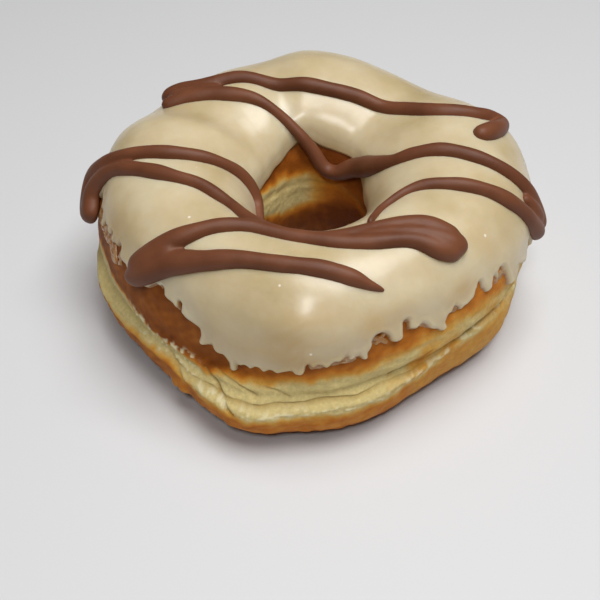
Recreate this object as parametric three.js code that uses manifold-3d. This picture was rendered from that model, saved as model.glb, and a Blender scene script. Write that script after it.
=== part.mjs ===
// A yeast-raised ring doughnut, iced with pale caramel icing that runs down in drips,
// with one thick chocolate drizzle laid over it in a zigzag.
// Millimetres, +Z up. The doughnut rests on its flat underside at z = 0.
// Angles run round the ring from +X towards +Y. The side that shows most is -Y.
import * as THREE from 'three';
import Module from 'manifold-3d';

const wasm = await Module();
wasm.setup();
const { Manifold, Mesh: Solid } = wasm;

const DEG = Math.PI / 180;

// ---- the dough ring, each list evenly spaced round the ring from 0 degrees
const OUTER_RADIUS = [
  48.5, 49.5, 49, 46, 44.5, 45.5, 46, 45, 44, 44, 44, 45,
  44.5, 43.5, 43, 42.5, 42.5, 44, 46, 45.5, 45, 45.5, 47, 47.5,
];
const HOLE_RADIUS = [12.5, 12, 11.5, 10.5, 8.4, 7.2, 8.6, 11.2, 15.5, 17.6, 17.2, 14.6];
const HEIGHT = [
  37.5, 37.5, 36, 35, 37, 38.5, 39, 37, 37.5, 36.5, 36, 37.5,
  37, 36.5, 36.5, 36, 36, 36, 36, 36, 36.5, 37, 37, 37.5,
];
const LOWER_RADIUS = [
  46, 46.5, 46, 45.5, 45, 45, 45.5, 45.5, 45, 45, 45.5, 46,
  46, 45.5, 44.5, 44, 46, 50.5, 49, 47.5, 44.5, 44.5, 47, 46.5,
];
const CORE_HEIGHT = 17;
const UNDERSIDE_CUT = 1;
const UPPER_ROUNDNESS = 2.2;
const LOWER_ROUNDNESS = 3.2;
// the crease is the fold left round the side where the two fried halves meet
const CREASE_HEIGHT = [14, 14, 13.5, 13.5, 13, 13, 13.5, 13.7, 12.6, 13.2, 14.6, 16];
const CREASE_DEPTH = 1.5;
const CREASE_WIDTH = 1.6;
const DOUGH_STEPS = 52;

// ---- the icing
const ICING_THICKNESS = 1.3;
const ICING_CLEARANCE = 0.25;
const ICING_ROOT = -2;
// section angle where the icing ends: 0 is the widest part of the side, 90 the crown,
// 180 the narrowest part of the hole
const OUTER_EDGE = [
  28, 27, 29, 27, 25, 28, 29, 27, 29, 28, 29, 31, 27, 28, 30, 29,
  31, 31, 29, 31, 32, 31, 34, 34, 37, 38, 34.3, 37.5, 38, 36, 38, 37,
  30.5, 15, 8, 10, 16.5, 22.5, 27, 35, 33, 31, 30, 33, 32.5, 31, 29, 30,
];
const HOLE_EDGE = [
  162, 159, 153, 144.5, 143, 143, 140.5, 143.5, 149, 151, 152.5, 153.5,
  154.5, 158, 164, 168, 168, 166, 165, 165, 167, 168, 165, 161,
];
// drips and notches of the outer edge: place, section angle reached, and half width in degrees
const DRIPS = [
  [212, 32.8, 1.8], [219, 31, 3.2], [229.4, 40.6, 1.2], [234, 34.5, 1.4], [239.5, 28.5, 1.8],
  [243.6, 11.4, 1.3], [252.4, -1.5, 1.4], [268.6, 11.3, 1.4], [283.8, 19, 1.2], [287.7, 36.6, 1.7],
  [292.1, 26.5, 1.8], [294.8, 39, 1], [304.2, 20, 2], [308.8, 30.6, 1.5], [312.5, 27, 3],
  [318, 36, 0.9], [321.6, 24, 1.7], [326.5, 33.4, 1.3], [329.6, 17, 1.4], [337, 27, 2], [345, 18, 1.6],
  [352, 25, 2.5], [4, 15, 2.4], [13, 24, 3], [22, 20, 2.4], [31, 12, 2.4], [41, 24, 3], [50, 16, 2.4],
  [61, 24, 3], [70, 19, 2.4], [82, 26, 3], [93, 14, 2.4], [104, 25, 3], [113, 20, 2.4], [124, 27, 3],
  [135, 17, 2.4], [146, 28, 3], [157, 21, 2.4], [168, 30, 3], [177, 25, 2.4], [184.5, 33, 2.4],
];
// bulges where the icing gathered: place, section angle, height, and half sizes in degrees
const BULGES = [[268, 45, 0.75, 13, 9], [297, 51, 0.5, 7, 8], [232, 52, 0.3, 9, 8], [85, 88, 0.3, 9, 9]];

// ---- the drizzle, pass by pass, then the four places where passes have run together:
// x, y, z near the centre line, half width, and how far it stands off the icing
const DRIZZLE_RISE = 0.7;
const DRIZZLE_SHAPE = 0.75;
const DRIZZLE_ROOT = 1.3;
const DRIZZLE_SECTION = [-45, 0, 45, 90, 135, 180, 225];
const DRIZZLE_STEP = 3.1;
const DRIZZLE = [
  [[36, 3.2, 38.1, 2], [38, 5, 37.4, 2.2], [40.6, 8.6, 35.9, 2.1], [41.7, 12.2, 34.6, 2.1],
    [39.6, 12.7, 36, 1.9], [35.7, 10.9, 37.8, 1.9], [28.4, 11.4, 38.7, 1.9], [20.3, 15, 38.1, 1.8],
    [12, 18.7, 37.4, 1.7], [3.4, 20.5, 38.5, 1.8], [-5.3, 21.9, 39.3, 1.7], [-14, 23.9, 38.6, 1.8],
    [-22.7, 23.1, 37.7, 2.1], [-27.5, 24.2, 36, 2.6], [-29.7, 24, 35.1, 2.8]],
  [[-30, 18.6, 36.9, 1.8], [-25.7, 19.3, 37.9, 2], [-18.2, 18.7, 38.4, 2], [-11.3, 17.2, 37.7, 1.6],
    [-5.2, 14.8, 35.4, 1.3], [-1.8, 13.1, 32.6, 1.4], [1.7, 11.6, 28.5, 1.5], [4.4, 10.1, 24.8, 1.6],
    [7.2, 8.9, 24.4, 1.7], [10.3, 7.2, 26.9, 2.2], [12.6, 5, 28.8, 2.5], [14.9, 2.2, 31, 2.2],
    [18.5, -1.2, 34.6, 1.5], [22.3, -2.4, 37, 1.7], [27.9, -3.4, 38.5, 1.8], [33.6, -5.3, 38.3, 1.7],
    [38.6, -6.6, 36.6, 1.6], [42.8, -7, 33.4, 1.7], [46.7, -7, 27.9, 1.9], [48, -7.4, 23.8, 2.2]],
  [[47.3, -10, 23.6, 2.1], [44.8, -12.4, 27.7, 2], [40, -14.1, 33.4, 1.8], [34.6, -14.4, 36.7, 1.7],
    [28.7, -14.1, 38.1, 1.6], [23.1, -13.8, 38, 1.4], [19.4, -14.6, 37.8, 1.2],
    [16.2, -16.8, 37.4, 1], [14.3, -18.7, 37, 0.9], [13.1, -21, 37.2, 0.8], [12.1, -23.6, 37.3, 0.8]],
  [[9.8, -24.4, 37, 0.8], [10.2, -21.6, 36, 0.8], [9, -18, 32.6, 0.8], [7.6, -15, 27, 1],
    [3, -16.6, 24.5, 1.2], [-3, -16, 24.5, 1.2], [-7.8, -12.5, 25.5, 1.1], [-9.6, -8, 25.5, 1.3],
    [-10, -4.6, 26.6, 1.5], [-11.1, -3.2, 29.4, 1.6], [-13.4, -2.8, 32.7, 1.6], [-17.1, -3.3, 35.8, 1.5],
    [-22.9, -3.5, 37.8, 1.6], [-28.9, -2.9, 37.9, 1.7], [-35.2, -1.5, 36, 1.7],
    [-40.5, 0.8, 31.7, 2.1], [-43.2, 2.2, 27.2, 2.7], [-44.2, -1, 24.2, 2.8],
    [-43.4, -4.6, 23.8, 2.6]],
  [[-43.4, -5.2, 24.6, 2.3], [-43.1, -2.4, 26.6, 2.4], [-41.4, -2.2, 30.2, 2.1],
    [-37.5, -4, 34.2, 1.8], [-31.5, -7.6, 37, 1.9], [-25.3, -10.8, 37.8, 1.6],
    [-19.4, -13.3, 37.3, 1.5], [-14.1, -17.4, 36.4, 1.4], [-10.1, -22.8, 36.7, 1.5],
    [-5.6, -26.4, 36.9, 1.6], [-0.1, -28.1, 37, 1.5], [5.5, -28.7, 37.2, 1.8],
    [11.9, -26.8, 37.5, 1.8], [19.3, -25.6, 37.7, 1.9], [22.9, -25.9, 37.2, 2.2],
    [26.2, -27, 35.8, 2.3]],
  [[26.4, -29.4, 34.5, 2.4], [24, -29.8, 35.4, 2.3], [19, -29.3, 37, 1.8], [11.7, -30.1, 37.4, 1.7],
    [5.4, -29.7, 37.3, 1.7], [-0.1, -28.3, 37, 1.6], [-5.6, -26.8, 36.9, 1.6], [-10.2, -25.3, 37, 1.8],
    [-15.6, -25.3, 37.1, 1.8], [-21.1, -26.2, 36.1, 2], [-26.5, -26.7, 33.4, 2.3],
    [-31, -26.5, 29.2, 2.4]],
  [[-31.7, -27.2, 26.9, 2.4], [-29.4, -28.4, 28.8, 2.5], [-23.9, -30.2, 32.5, 2.5],
    [-18.1, -31.9, 34.5, 2.1], [-11.7, -33.2, 35.9, 1.9], [-4.5, -35, 36.4, 1.7],
    [2.6, -36.2, 36.3, 1.8], [7.9, -37.3, 35.5, 1.8], [11.1, -38.1, 34.4, 1.1],
    [13.6, -38.4, 33.4, 0.5]],
  [[-30.8, -27, 28.8, 2.6], [-25, -28.2, 33.4, 2.2]],
  [[16, -27.9, 37.6, 1.6], [21.5, -27.7, 37, 1.9], [25.8, -28.2, 35.5, 2.7], [27.2, -28.3, 34.9, 2.6]],
  [[43.8, -9.8, 31.6, 1.1], [45.4, -9.5, 29.2, 1.8, 0.1], [46.8, -9.1, 26.6, 2.1, 0.2]],
  [[-28.5, 21, 36.9, 2.2], [-23.6, 21.2, 38.1, 1.8], [-19, 21.1, 38.6, 1.2]],
];

// A smooth closed run through values evenly spaced round the ring.
function aroundRing(values, degrees) {
  const n = values.length;
  const u = (((degrees / 360) % 1) + 1) % 1 * n;
  const i = Math.floor(u);
  const f = u - i;
  const [a, b, c, d] = [i - 1, i, i + 1, i + 2].map((k) => values[(k + n) % n]);
  return 0.5 * (2 * b + (c - a) * f + (2 * a - 5 * b + 4 * c - d) * f * f
    + (3 * b - a - 3 * c + d) * f * f * f);
}

// A point of the dough's skin, moved outward from the ring's core by offset.
function skin(around, section, offset = 0) {
  const outer = aroundRing(OUTER_RADIUS, around);
  const hole = aroundRing(HOLE_RADIUS, around);
  const core = (outer + hole) / 2;
  const c = Math.cos(section * DEG);
  const s = Math.sin(section * DEG);
  const above = aroundRing(HEIGHT, around) - CORE_HEIGHT;
  const power = s > 0 ? UPPER_ROUNDNESS : LOWER_ROUNDNESS;
  const tall = s > 0 ? above : CORE_HEIGHT + UNDERSIDE_CUT;
  let wide = (outer - hole) / 2;
  if (s < 0 && c > 0) {
    const w = Math.min(1, -s * 2.5);
    wide += (aroundRing(LOWER_RADIUS, around) - outer) * w * w * (3 - 2 * w);
  }
  let reach = (Math.abs(c / wide) ** power + Math.abs(s / tall) ** power) ** (-1 / power);
  if (c > 0) {
    const away = (CORE_HEIGHT + reach * s - aroundRing(CREASE_HEIGHT, around)) / CREASE_WIDTH;
    reach -= CREASE_DEPTH * Math.exp(-away * away);
  }
  reach += offset;
  const radius = core + reach * c;
  const z = Math.max(CORE_HEIGHT + reach * s, -offset);
  return new THREE.Vector3(radius * Math.cos(around * DEG), radius * Math.sin(around * DEG), z);
}

// The place round the ring and over the section that lies nearest a point.
function placeOf(point) {
  const around = Math.atan2(point.y, point.x) / DEG;
  const core = (aroundRing(OUTER_RADIUS, around) + aroundRing(HOLE_RADIUS, around)) / 2;
  const section = Math.atan2(point.z - CORE_HEIGHT, Math.hypot(point.x, point.y) - core) / DEG;
  return [around, section];
}

// Runs of equal steps, for places round the ring or over the section.
function stations(...runs) {
  return runs.flatMap(([from, to, count]) => (
    Array.from({ length: count }, (_, i) => from + (to - from) * i / count)));
}

// A closed solid from a loop of rings of points. Neighbouring rings hold as many points
// as each other, or one holds twice as many as the other.
function ringSolid(rings) {
  const starts = rings.map((_, i) => rings.slice(0, i).reduce((sum, ring) => sum + ring.length, 0));
  const tris = [];
  rings.forEach((ring, i) => {
    const next = (i + 1) % rings.length;
    const here = (j) => starts[i] + j % ring.length;
    const there = (j) => starts[next] + j % rings[next].length;
    if (ring.length === rings[next].length) {
      for (let j = 0; j < ring.length; j += 1) {
        tris.push(here(j), here(j + 1), there(j + 1), here(j), there(j + 1), there(j));
      }
    } else if (ring.length > rings[next].length) {
      for (let j = 0; j < rings[next].length; j += 1) {
        tris.push(here(2 * j), here(2 * j + 1), there(j), here(2 * j + 1), there(j + 1), there(j));
        tris.push(here(2 * j + 1), here(2 * j + 2), there(j + 1));
      }
    } else {
      for (let j = 0; j < ring.length; j += 1) {
        tris.push(here(j), there(2 * j + 1), there(2 * j), here(j), here(j + 1), there(2 * j + 1));
        tris.push(here(j + 1), there(2 * j + 2), there(2 * j + 1));
      }
    }
  });
  return solidOf(rings.flat(), tris);
}

function solidOf(points, tris) {
  const vertProperties = new Float32Array(points.flatMap((point) => point.toArray()));
  return new Manifold(new Solid({ numProp: 3, vertProperties, triVerts: new Uint32Array(tris) }));
}

// ---- dough
const doughAround = stations([0, 360, DOUGH_STEPS]);
const doughSection = stations([-180, -96, 5], [-96, -36, 5], [-36, -24, 2], [-24, 0, 7], [0, 90, 7], [90, 180, 7]);
const doughRing = (offset) => ringSolid(doughSection.map((section) => (
  doughAround.map((around) => skin(around, section, offset)))));
const dough = doughRing(0);

// ---- icing sheet
const turned = (around, place) => (around - place + 540) % 360 - 180;
const brokenEdge = (around) => DRIPS.reduce((edge, [place, reached, halfWidth]) => {
  const away = turned(around, place) / halfWidth;
  return edge + (reached - edge) * Math.exp(-away * away * 1.4);
}, aroundRing(OUTER_EDGE, around));
const gathered = (around, section) => BULGES.reduce((sum, [place, angle, height, wide, tall]) => (
  sum + height * Math.exp(-((turned(around, place) / wide) ** 2) - ((section - angle) / tall) ** 2)), 0);
const outerEdge = (around) => aroundRing(OUTER_EDGE, around);
const holeEdge = (around) => aroundRing(HOLE_EDGE, around);
// across the sheet: share of the way from the edge to the crown, and share of the thickness
const EDGE_ROWS = [[0, -0.8], [0.012, 0.4], [0.035, 0.75]];
const OUTER_ROWS = [[0.15, 0.96], [0.3, 1], [0.52, 1], [0.76, 1]];
const HOLE_ROWS = [[1, 1], [0.72, 1], [0.45, 1], [0.2, 0.9], [0.07, 0.55], [0.02, 0.4], [0, -0.8]];
const fineAround = stations([-165, -16, 110], [-16, 195, 62]);
const coarseAround = fineAround.filter((_, i) => i % 2 === 0);
const across = (places, edgeAt, share, rise) => places.map((around) => {
  const edge = edgeAt(around);
  const section = edge + (90 - edge) * share;
  return skin(around, section, rise * ICING_THICKNESS + (rise === 1 ? gathered(around, section) : 0));
});
const sheet = ringSolid([
  ...EDGE_ROWS.map(([share, rise]) => across(fineAround, brokenEdge, share, rise)),
  ...OUTER_ROWS.map(([share, rise]) => across(coarseAround, outerEdge, share, rise)),
  ...HOLE_ROWS.map(([share, rise]) => across(coarseAround, holeEdge, share, rise)),
  across(coarseAround, holeEdge, 0, ICING_ROOT),
  across(coarseAround, holeEdge, 1, ICING_ROOT),
  across(coarseAround, outerEdge, 0, ICING_ROOT),
]);

// ---- drizzle, each pass a flattened rope with round ends that follows the icing
function rope(waypoints) {
  const path = new THREE.CatmullRomCurve3(waypoints.map(([x, y, z]) => new THREE.Vector3(x, y, z)), false, 'centripetal');
  const count = Math.ceil(path.getLength() / DRIZZLE_STEP);
  const between = (t, item) => {
    const u = t * (waypoints.length - 1);
    const k = Math.min(waypoints.length - 2, Math.floor(u));
    const [from, to] = [waypoints[k][item] ?? 0, waypoints[k + 1][item] ?? 0];
    return from + (to - from) * (u - k);
  };
  const rings = [];
  for (let i = 0; i <= count; i += 1) {
    const t = path.getUtoTmapping(i / count);
    const half = between(t, 3);
    const off = between(t, 4);
    const centre = (u) => {
      const [around, section] = placeOf(path.getPoint(Math.min(1, Math.max(0, u))));
      return [skin(around, section, ICING_THICKNESS - 0.15 + off), skin(around, section, ICING_THICKNESS + 5)];
    };
    const [point, over] = centre(t);
    const ahead = centre(t + 0.004)[0].sub(centre(t - 0.004)[0]).normalize();
    const side = new THREE.Vector3().crossVectors(ahead, over.sub(point)).normalize();
    const up = new THREE.Vector3().crossVectors(side, ahead);
    const ends = i === 0 ? [[-0.85, 0.5], [-0.3, 0.92]] : i === count ? [[0.3, 0.92], [0.85, 0.5]] : [[0, 1]];
    for (const [along, scale] of ends) {
      rings.push({ middle: point.clone().addScaledVector(ahead, along * half), side, up, half, off, scale });
    }
  }
  const n = DRIZZLE_SECTION.length;
  const points = rings.flatMap(({ middle, side, up, half, off, scale }) => DRIZZLE_SECTION.map((degrees) => {
    const [c, s] = [Math.cos(degrees * DEG), Math.sin(degrees * DEG)];
    const rise = s > 0 ? DRIZZLE_RISE + DRIZZLE_SHAPE * half : DRIZZLE_ROOT + off;
    return middle.clone().addScaledVector(side, c * half * scale)
      .addScaledVector(up, s * rise * (0.4 + 0.6 * scale));
  }));
  const last = (rings.length - 1) * n;
  const tris = [];
  for (let i = 0; i < last; i += n) {
    for (let k = 0; k < n; k += 1) {
      const [a, b] = [i + k, i + (k + 1) % n];
      tris.push(a, b + n, b, a, a + n, b + n);
    }
  }
  for (let k = 1; k < n - 1; k += 1) tris.push(0, k, k + 1, last, last + k + 1, last + k);
  return solidOf(points, tris);
}

let icing = sheet;
for (const pass of DRIZZLE) icing = icing.add(rope(pass));
icing = icing.subtract(doughRing(ICING_CLEARANCE));

// ---- meshes, moved together so that the part's footprint is centred on the origin
function toMesh(solid, name, colour, roughness) {
  const { vertProperties, triVerts } = solid.getMesh();
  const geometry = new THREE.BufferGeometry();
  geometry.setAttribute('position', new THREE.BufferAttribute(new Float32Array(vertProperties), 3));
  geometry.setIndex(new THREE.BufferAttribute(new Uint32Array(triVerts), 1));
  const mesh = new THREE.Mesh(geometry, new THREE.MeshStandardMaterial({ color: colour, roughness, metalness: 0 }));
  mesh.name = name;
  return mesh;
}

const group = new THREE.Group();
group.add(toMesh(dough, 'dough', 0xcf9a52, 0.75));
group.add(toMesh(icing, 'icing', 0xd8c79f, 0.35));

const box = new THREE.Box3().setFromObject(group);
const middle = box.getCenter(new THREE.Vector3());
for (const mesh of group.children) {
  mesh.geometry.translate(-middle.x, -middle.y, -box.min.z);
  mesh.geometry.computeVertexNormals();
}

export default group;
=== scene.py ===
# %% [markdown]
# # An iced ring doughnut with a chocolate drizzle
#
# The real thing is a ring of yeast dough. It floats in hot oil, browns on one side, is turned
# and browns on the other, so a pale band stays round the middle, where the oil never reached.
# The top is dipped in caramel icing, which runs down in drips, and melted chocolate is piped
# over it in one long zigzag.
#
# Every piece here is made in metres in the frame of the engineering model, which is loaded
# first and hidden piece by piece as finer ones take its place.

# %% Load the frame
import math

import bmesh
import bpy
import numpy as np
from mathutils import Matrix, Vector


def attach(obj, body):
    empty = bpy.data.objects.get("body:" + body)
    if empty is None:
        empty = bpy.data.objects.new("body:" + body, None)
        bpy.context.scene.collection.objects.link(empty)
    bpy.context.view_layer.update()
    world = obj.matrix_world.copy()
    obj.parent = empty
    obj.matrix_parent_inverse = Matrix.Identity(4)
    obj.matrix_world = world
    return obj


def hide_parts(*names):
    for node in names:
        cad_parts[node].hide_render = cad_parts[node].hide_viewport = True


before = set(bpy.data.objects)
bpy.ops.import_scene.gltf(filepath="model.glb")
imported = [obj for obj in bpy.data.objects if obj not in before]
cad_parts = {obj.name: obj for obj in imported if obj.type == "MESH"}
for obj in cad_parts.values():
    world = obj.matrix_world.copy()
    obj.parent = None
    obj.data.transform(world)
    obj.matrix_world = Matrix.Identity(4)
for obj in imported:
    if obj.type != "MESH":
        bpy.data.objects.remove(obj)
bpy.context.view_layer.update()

MM = 0.001
PER_MM = 1000
print("nodes", [node if isinstance(node, str) else node.get("name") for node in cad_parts])

# %% [markdown]
# ## The shape that everything follows
#
# A doughnut isn't a perfect ring: hands stretch it, and it swells unevenly in the oil. It could
# be sculpted by eye, but then the icing and the chocolate would each have to be fitted to it
# again. So its outline, hole and height are short lists of sizes round the ring, and one
# function turns a place round the ring, an angle over the section and a height above the skin
# into a point. The dough, the icing and the drizzle are all laid out with that function.

# %% Sizes of the ring, in millimetres
# each list goes round the ring in even steps, from the right towards the back
OUTER_RADIUS = [
    48.5, 49.5, 49, 46, 44.5, 45.5, 46, 45, 44, 44, 44, 45,
    44.5, 43.5, 43, 42.5, 42.5, 44, 46, 45.5, 45, 45.5, 47, 47.5,
]
HOLE_RADIUS = [12.5, 12, 11.5, 10.5, 8.4, 7.2, 8.6, 11.2, 15.5, 17.6, 17.2, 14.6]
HEIGHT = [
    37.5, 37.5, 36, 35, 37, 38.5, 39, 37, 37.5, 36.5, 36, 37.5,
    37, 36.5, 36.5, 36, 36, 36, 36, 36, 36.5, 37, 37, 37.5,
]
# the outer radius of the lower half, which has its own bulges
LOWER_RADIUS = [
    46, 46.5, 46, 45.5, 45, 45, 45.5, 45.5, 45, 45, 45.5, 46,
    46, 45.5, 44.5, 44, 46, 50.5, 49, 47.5, 44.5, 44.5, 47, 46.5,
]
# the section is an oval about a core: a roundness of 2 is an ellipse, and more is squarer
CORE_HEIGHT = 17
UNDERSIDE_CUT = 1
UPPER_ROUNDNESS = 2.2
LOWER_ROUNDNESS = 3.2
SWELL_ONSET = 0.4
# the shallow waist in the outside, where the pale band is
WAIST_HEIGHT = [14, 14, 13.5, 13.5, 13, 13, 13.5, 13.7, 12.6, 13.2, 14.6, 16]
WAIST_DEPTH = 1.5
WAIST_WIDTH = 1.6
ICING_THICKNESS = 1.3
# moves the middle of the footprint to the origin, where the engineering model has it
FOOTPRINT_SHIFT = (-1.435, 1.389)


# %% Smooth curves, steps and bells
def spline(a, b, c, d, t):
    """A smooth run from b, where t is 0, to c, where it is 1, between a before and d after."""
    bend = (2 * a - 5 * b + 4 * c - d) * t**2 + (3 * b - a - 3 * c + d) * t**3
    return 0.5 * (2 * b + (c - a) * t + bend)


def around_ring(values, degrees):
    """A smooth closed run through values that are evenly spaced round the ring."""
    values = np.asarray(values, float)
    place = (np.asarray(degrees, float) / 360 % 1) * len(values)
    whole = np.floor(place).astype(int)
    near_values = (values[(whole + step) % len(values)] for step in (-1, 0, 1, 2))
    return spline(*near_values, place - whole)


def smooth_step(low, high, value):
    """0 at low, 1 at high and a smooth change between. It falls where low is the larger."""
    t = np.clip((np.asarray(value, float) - low) / (high - low), 0, 1)
    return t * t * (3 - 2 * t)


def bell(distance, width):
    """1 where the distance is 0, fading to about a third at width and to 0 past twice that."""
    return np.exp(-((distance / width) ** 2))


print("outer radius at the front", around_ring(OUTER_RADIUS, 270).round(1), "mm")


# %% Points of the skin
def skin(around, section, offset=0.0):
    """Points in mm for angles in degrees, offset mm further from the core than the skin."""
    outer = around_ring(OUTER_RADIUS, around)
    hole = around_ring(HOLE_RADIUS, around)
    core = (outer + hole) / 2
    c = np.cos(np.radians(section))
    s = np.sin(np.radians(section))
    power = np.where(s > 0, UPPER_ROUNDNESS, LOWER_ROUNDNESS)
    above = around_ring(HEIGHT, around) - CORE_HEIGHT
    tall = np.where(s > 0, above, CORE_HEIGHT + UNDERSIDE_CUT)
    swell = (around_ring(LOWER_RADIUS, around) - outer) * smooth_step(0, SWELL_ONSET, -s)
    wide = (outer - hole) / 2 + np.where((s < 0) & (c > 0), swell, 0)
    reach = (np.abs(c / wide) ** power + np.abs(s / tall) ** power) ** (-1 / power)
    above_waist = CORE_HEIGHT + reach * s - around_ring(WAIST_HEIGHT, around)
    reach = reach - np.where(c > 0, WAIST_DEPTH * bell(above_waist, WAIST_WIDTH), 0) + offset
    radius = core + reach * c
    x = radius * np.cos(np.radians(around)) + FOOTPRINT_SHIFT[0]
    y = radius * np.sin(np.radians(around)) + FOOTPRINT_SHIFT[1]
    z = np.maximum(CORE_HEIGHT + reach * s, 0)
    return np.stack([x, y, z], -1)


def nearest_place(point):
    """The angles round the ring and over the section of a point in mm, before the shift."""
    around = math.degrees(math.atan2(point[1], point[0]))
    core = (around_ring(OUTER_RADIUS, around) + around_ring(HOLE_RADIUS, around)) / 2
    reach = math.hypot(point[0], point[1]) - core
    return around, math.degrees(math.atan2(point[2] - CORE_HEIGHT, reach))


print("crown at the front", skin(270, 90).round(1), "widest right", skin(0, 0).round(1))


# %% [markdown]
# ## Camera, floor and light
#
# The camera looks down at about 43 degrees from close by, as someone at the table does, so the
# far side of the ring is clearly smaller than the near one. A long lens further off would
# flatten it. The floor is plain and pale. One soft lamp half a metre wide hangs overhead, a
# little to the right, and leaves the left side in gentle shade. A wider one would wash out the
# shadow at the foot of the dough. A small lamp in front and above gives the icing its compact
# highlights, and a very dim room fills in the rest.

# %% Camera
CAMERA_TILT = 43.5
CAMERA_PLACE = (-0.912, -168.053, 154.133)
camera = bpy.data.objects.new("camera", bpy.data.cameras.new("camera"))
bpy.context.scene.collection.objects.link(camera)
camera.data.sensor_width = 36
camera.data.lens = 60
camera.data.clip_start = 0.01
camera.rotation_euler = (math.radians(90 - CAMERA_TILT), 0, 0)
camera.location = [(a + b) * MM for a, b in zip(CAMERA_PLACE, (*FOOTPRINT_SHIFT, 0))]
bpy.context.scene.camera = camera
print("camera", [round(v, 4) for v in camera.location])


# %% [markdown]
# ## Helpers for materials
#
# Colours are given as sRGB hex values, but the renderer works in linear light, so one function
# turns the first into the second. Another adds a node with its settings and links, and the
# stops of its colour ramp if it has one. A material could also be built by hand in the editor,
# but then this script couldn't make it again.

# %% Colour and node helpers
def linear(hex_colour):
    """An sRGB hex colour as linear RGBA."""
    parts = [int(hex_colour[i:i + 2], 16) / 255 for i in (0, 2, 4)]
    return [c / 12.92 if c <= 0.04045 else ((c + 0.055) / 1.055) ** 2.4 for c in parts] + [1]


def add(tree, kind, inputs=None, stops=(), **settings):
    """Adds a node. Inputs are values or sockets to link from, stops are (position, hex)."""
    node = tree.nodes.new(kind)
    for name, value in settings.items():
        setattr(node, name, value)
    for name, value in (inputs or {}).items():
        if isinstance(value, bpy.types.NodeSocket):
            tree.links.new(value, node.inputs[name])
        else:
            node.inputs[name].default_value = value
    for _ in stops[2:]:
        node.color_ramp.elements.new(0.5)
    for index, (position, colour) in enumerate(stops):
        node.color_ramp.elements[index].position = position
        node.color_ramp.elements[index].color = linear(colour)
    return node


def new_material(name):
    """An empty node material with a Principled shader joined to its output."""
    material = bpy.data.materials.new(name)
    material.use_nodes = True
    tree = material.node_tree
    tree.nodes.clear()
    shader = add(tree, "ShaderNodeBsdfPrincipled")
    add(tree, "ShaderNodeOutputMaterial", {"Surface": shader.outputs["BSDF"]})
    return material, tree, shader


# %% Floor
FLOOR_HALF_WIDTH = 1.5
floor_bm = bmesh.new()
bmesh.ops.create_grid(floor_bm, x_segments=2, y_segments=2, size=FLOOR_HALF_WIDTH)
floor_mesh = bpy.data.meshes.new("floor")
floor_bm.to_mesh(floor_mesh)
floor_bm.free()
floor = bpy.data.objects.new("floor", floor_mesh)
bpy.context.scene.collection.objects.link(floor)
material, tree, shader = new_material("matt pale board")
shader.inputs["Base Color"].default_value = linear("d1d1d2")
shader.inputs["Roughness"].default_value = 0.6
floor_mesh.materials.append(material)
print("floor", 2 * FLOOR_HALF_WIDTH, "m wide")


# %% Lamps and the room
LAMP_TARGET = Vector((0, 0, 0.02))


def soft_lamp(name, place, size, watts):
    """A square lamp, size metres wide, that faces the middle of the doughnut."""
    lamp = bpy.data.objects.new(name, bpy.data.lights.new(name, "AREA"))
    bpy.context.scene.collection.objects.link(lamp)
    lamp.data.size = size
    lamp.data.energy = watts
    lamp.location = place
    lamp.rotation_euler = (LAMP_TARGET - Vector(place)).to_track_quat("-Z", "Y").to_euler()
    print(name, size, "m wide,", watts, "W")


soft_lamp("overhead lamp", place=(0.13, -0.04, 0.7), size=0.5, watts=5.5)
soft_lamp("front lamp", place=(-0.05, -0.45, 0.62), size=0.11, watts=1.3)
world = bpy.data.worlds.new("room")
world.use_nodes = True
room = world.node_tree.nodes["Background"]
room.inputs["Color"].default_value = linear("f4f3f2")
room.inputs["Strength"].default_value = 0.04
bpy.context.scene.world = world
bpy.context.scene.view_settings.view_transform = "Standard"


# %% [markdown]
# ## Gentle randomness
#
# Dough and icing are uneven at every size. A texture node could add that, but only to the
# shading, and the outline would stay too clean. Here a few dozen seeded plane waves are summed
# instead. They cost little, join up all round the ring, and give the same result in every run.

# %% Waves
WAVE_COUNT = 28


def waves(points, size, seed, stretch=(1, 1, 1)):
    """Smooth noise near -1 to 1 at points in mm, with features about as big as size."""
    rng = np.random.default_rng(seed)
    points = np.asarray(points) / np.array(stretch, float)
    total = np.zeros(points.shape[:-1])
    for _ in range(WAVE_COUNT):
        way = rng.normal(size=3)
        way *= math.pi / size * rng.uniform(0.6, 1.5) / np.linalg.norm(way)
        total += np.sin(points @ way + rng.uniform(0, 2 * math.pi))
    return total / math.sqrt(WAVE_COUNT) * 0.8


def turn(around, place):
    """The signed angle from place to around, in degrees."""
    return (np.asarray(around) - place + 540) % 360 - 180


def close_to(around, place, full, gone):
    """1 within full degrees of a place round the ring, and 0 from gone degrees on."""
    return smooth_step(gone, full, np.abs(turn(around, place)))


print("waves at the origin", waves(np.zeros((1, 3)), 5, seed=1).round(3))


# %% [markdown]
# ## A ring of quads to shape
#
# Dough and icing are both closed rings, so both start as the same thing: a flat grid that is
# rolled into a tube and bent into a ring, with the two seams welded. Spinning a circle would
# give the same ring, but slowly, because each of its hundreds of steps copies the last. Each
# point's place round the ring and round the section is then read from where it stands, and the
# point is moved to where the real surface is. The places needn't be even: rows crowd together
# at folds and edges, and columns where the icing runs down in drips.

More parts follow.
